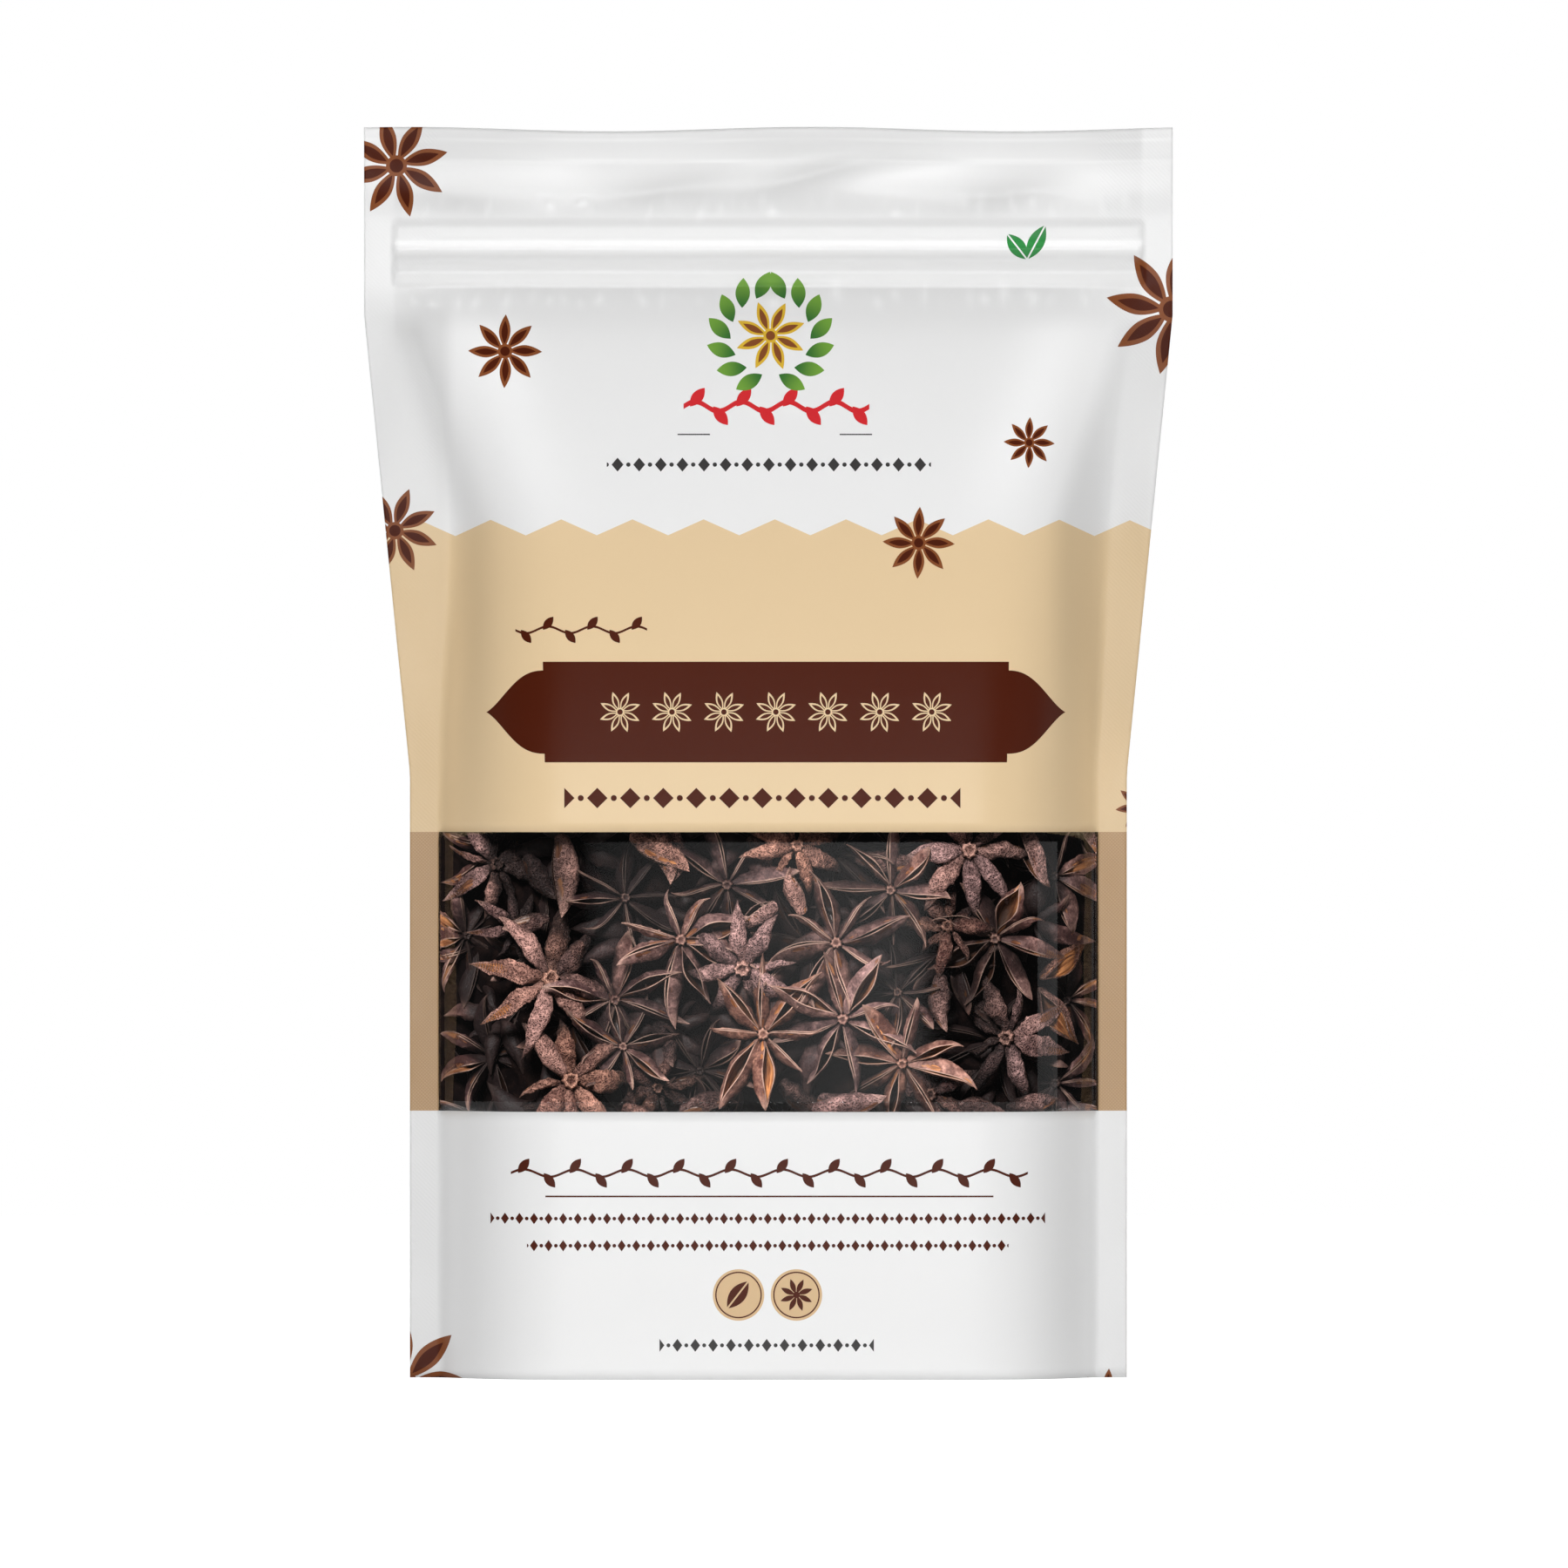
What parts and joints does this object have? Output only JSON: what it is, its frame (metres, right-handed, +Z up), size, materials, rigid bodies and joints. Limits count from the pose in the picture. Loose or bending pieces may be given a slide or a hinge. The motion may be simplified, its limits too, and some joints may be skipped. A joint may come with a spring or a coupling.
{
  "type": "stand-up pouch of star anise",
  "caption": "Stand-up zip pouch of printed film, filled with whole star anise pods that show through a clear window across its front.",
  "frame": {"origin": "middle of the base that the pouch stands on", "axes": "+Z up along the pouch's height, +X along its width, +Y through it from front to back, so the window faces -Y"},
  "size_m": [0.15, 0.0378, 0.232],
  "materials": {
    "printed_film": "satin laminate film, white with a tan field and brown ornament",
    "clear_film": "clear glossy film",
    "star_anise": "dry, dull and woody, with smooth linings inside the split pods"
  },
  "bodies": {
    "root": {"pouch": "printed_film", "window_film": "clear_film", "star_anise_heap": "star_anise"}
  },
  "joints": []
}
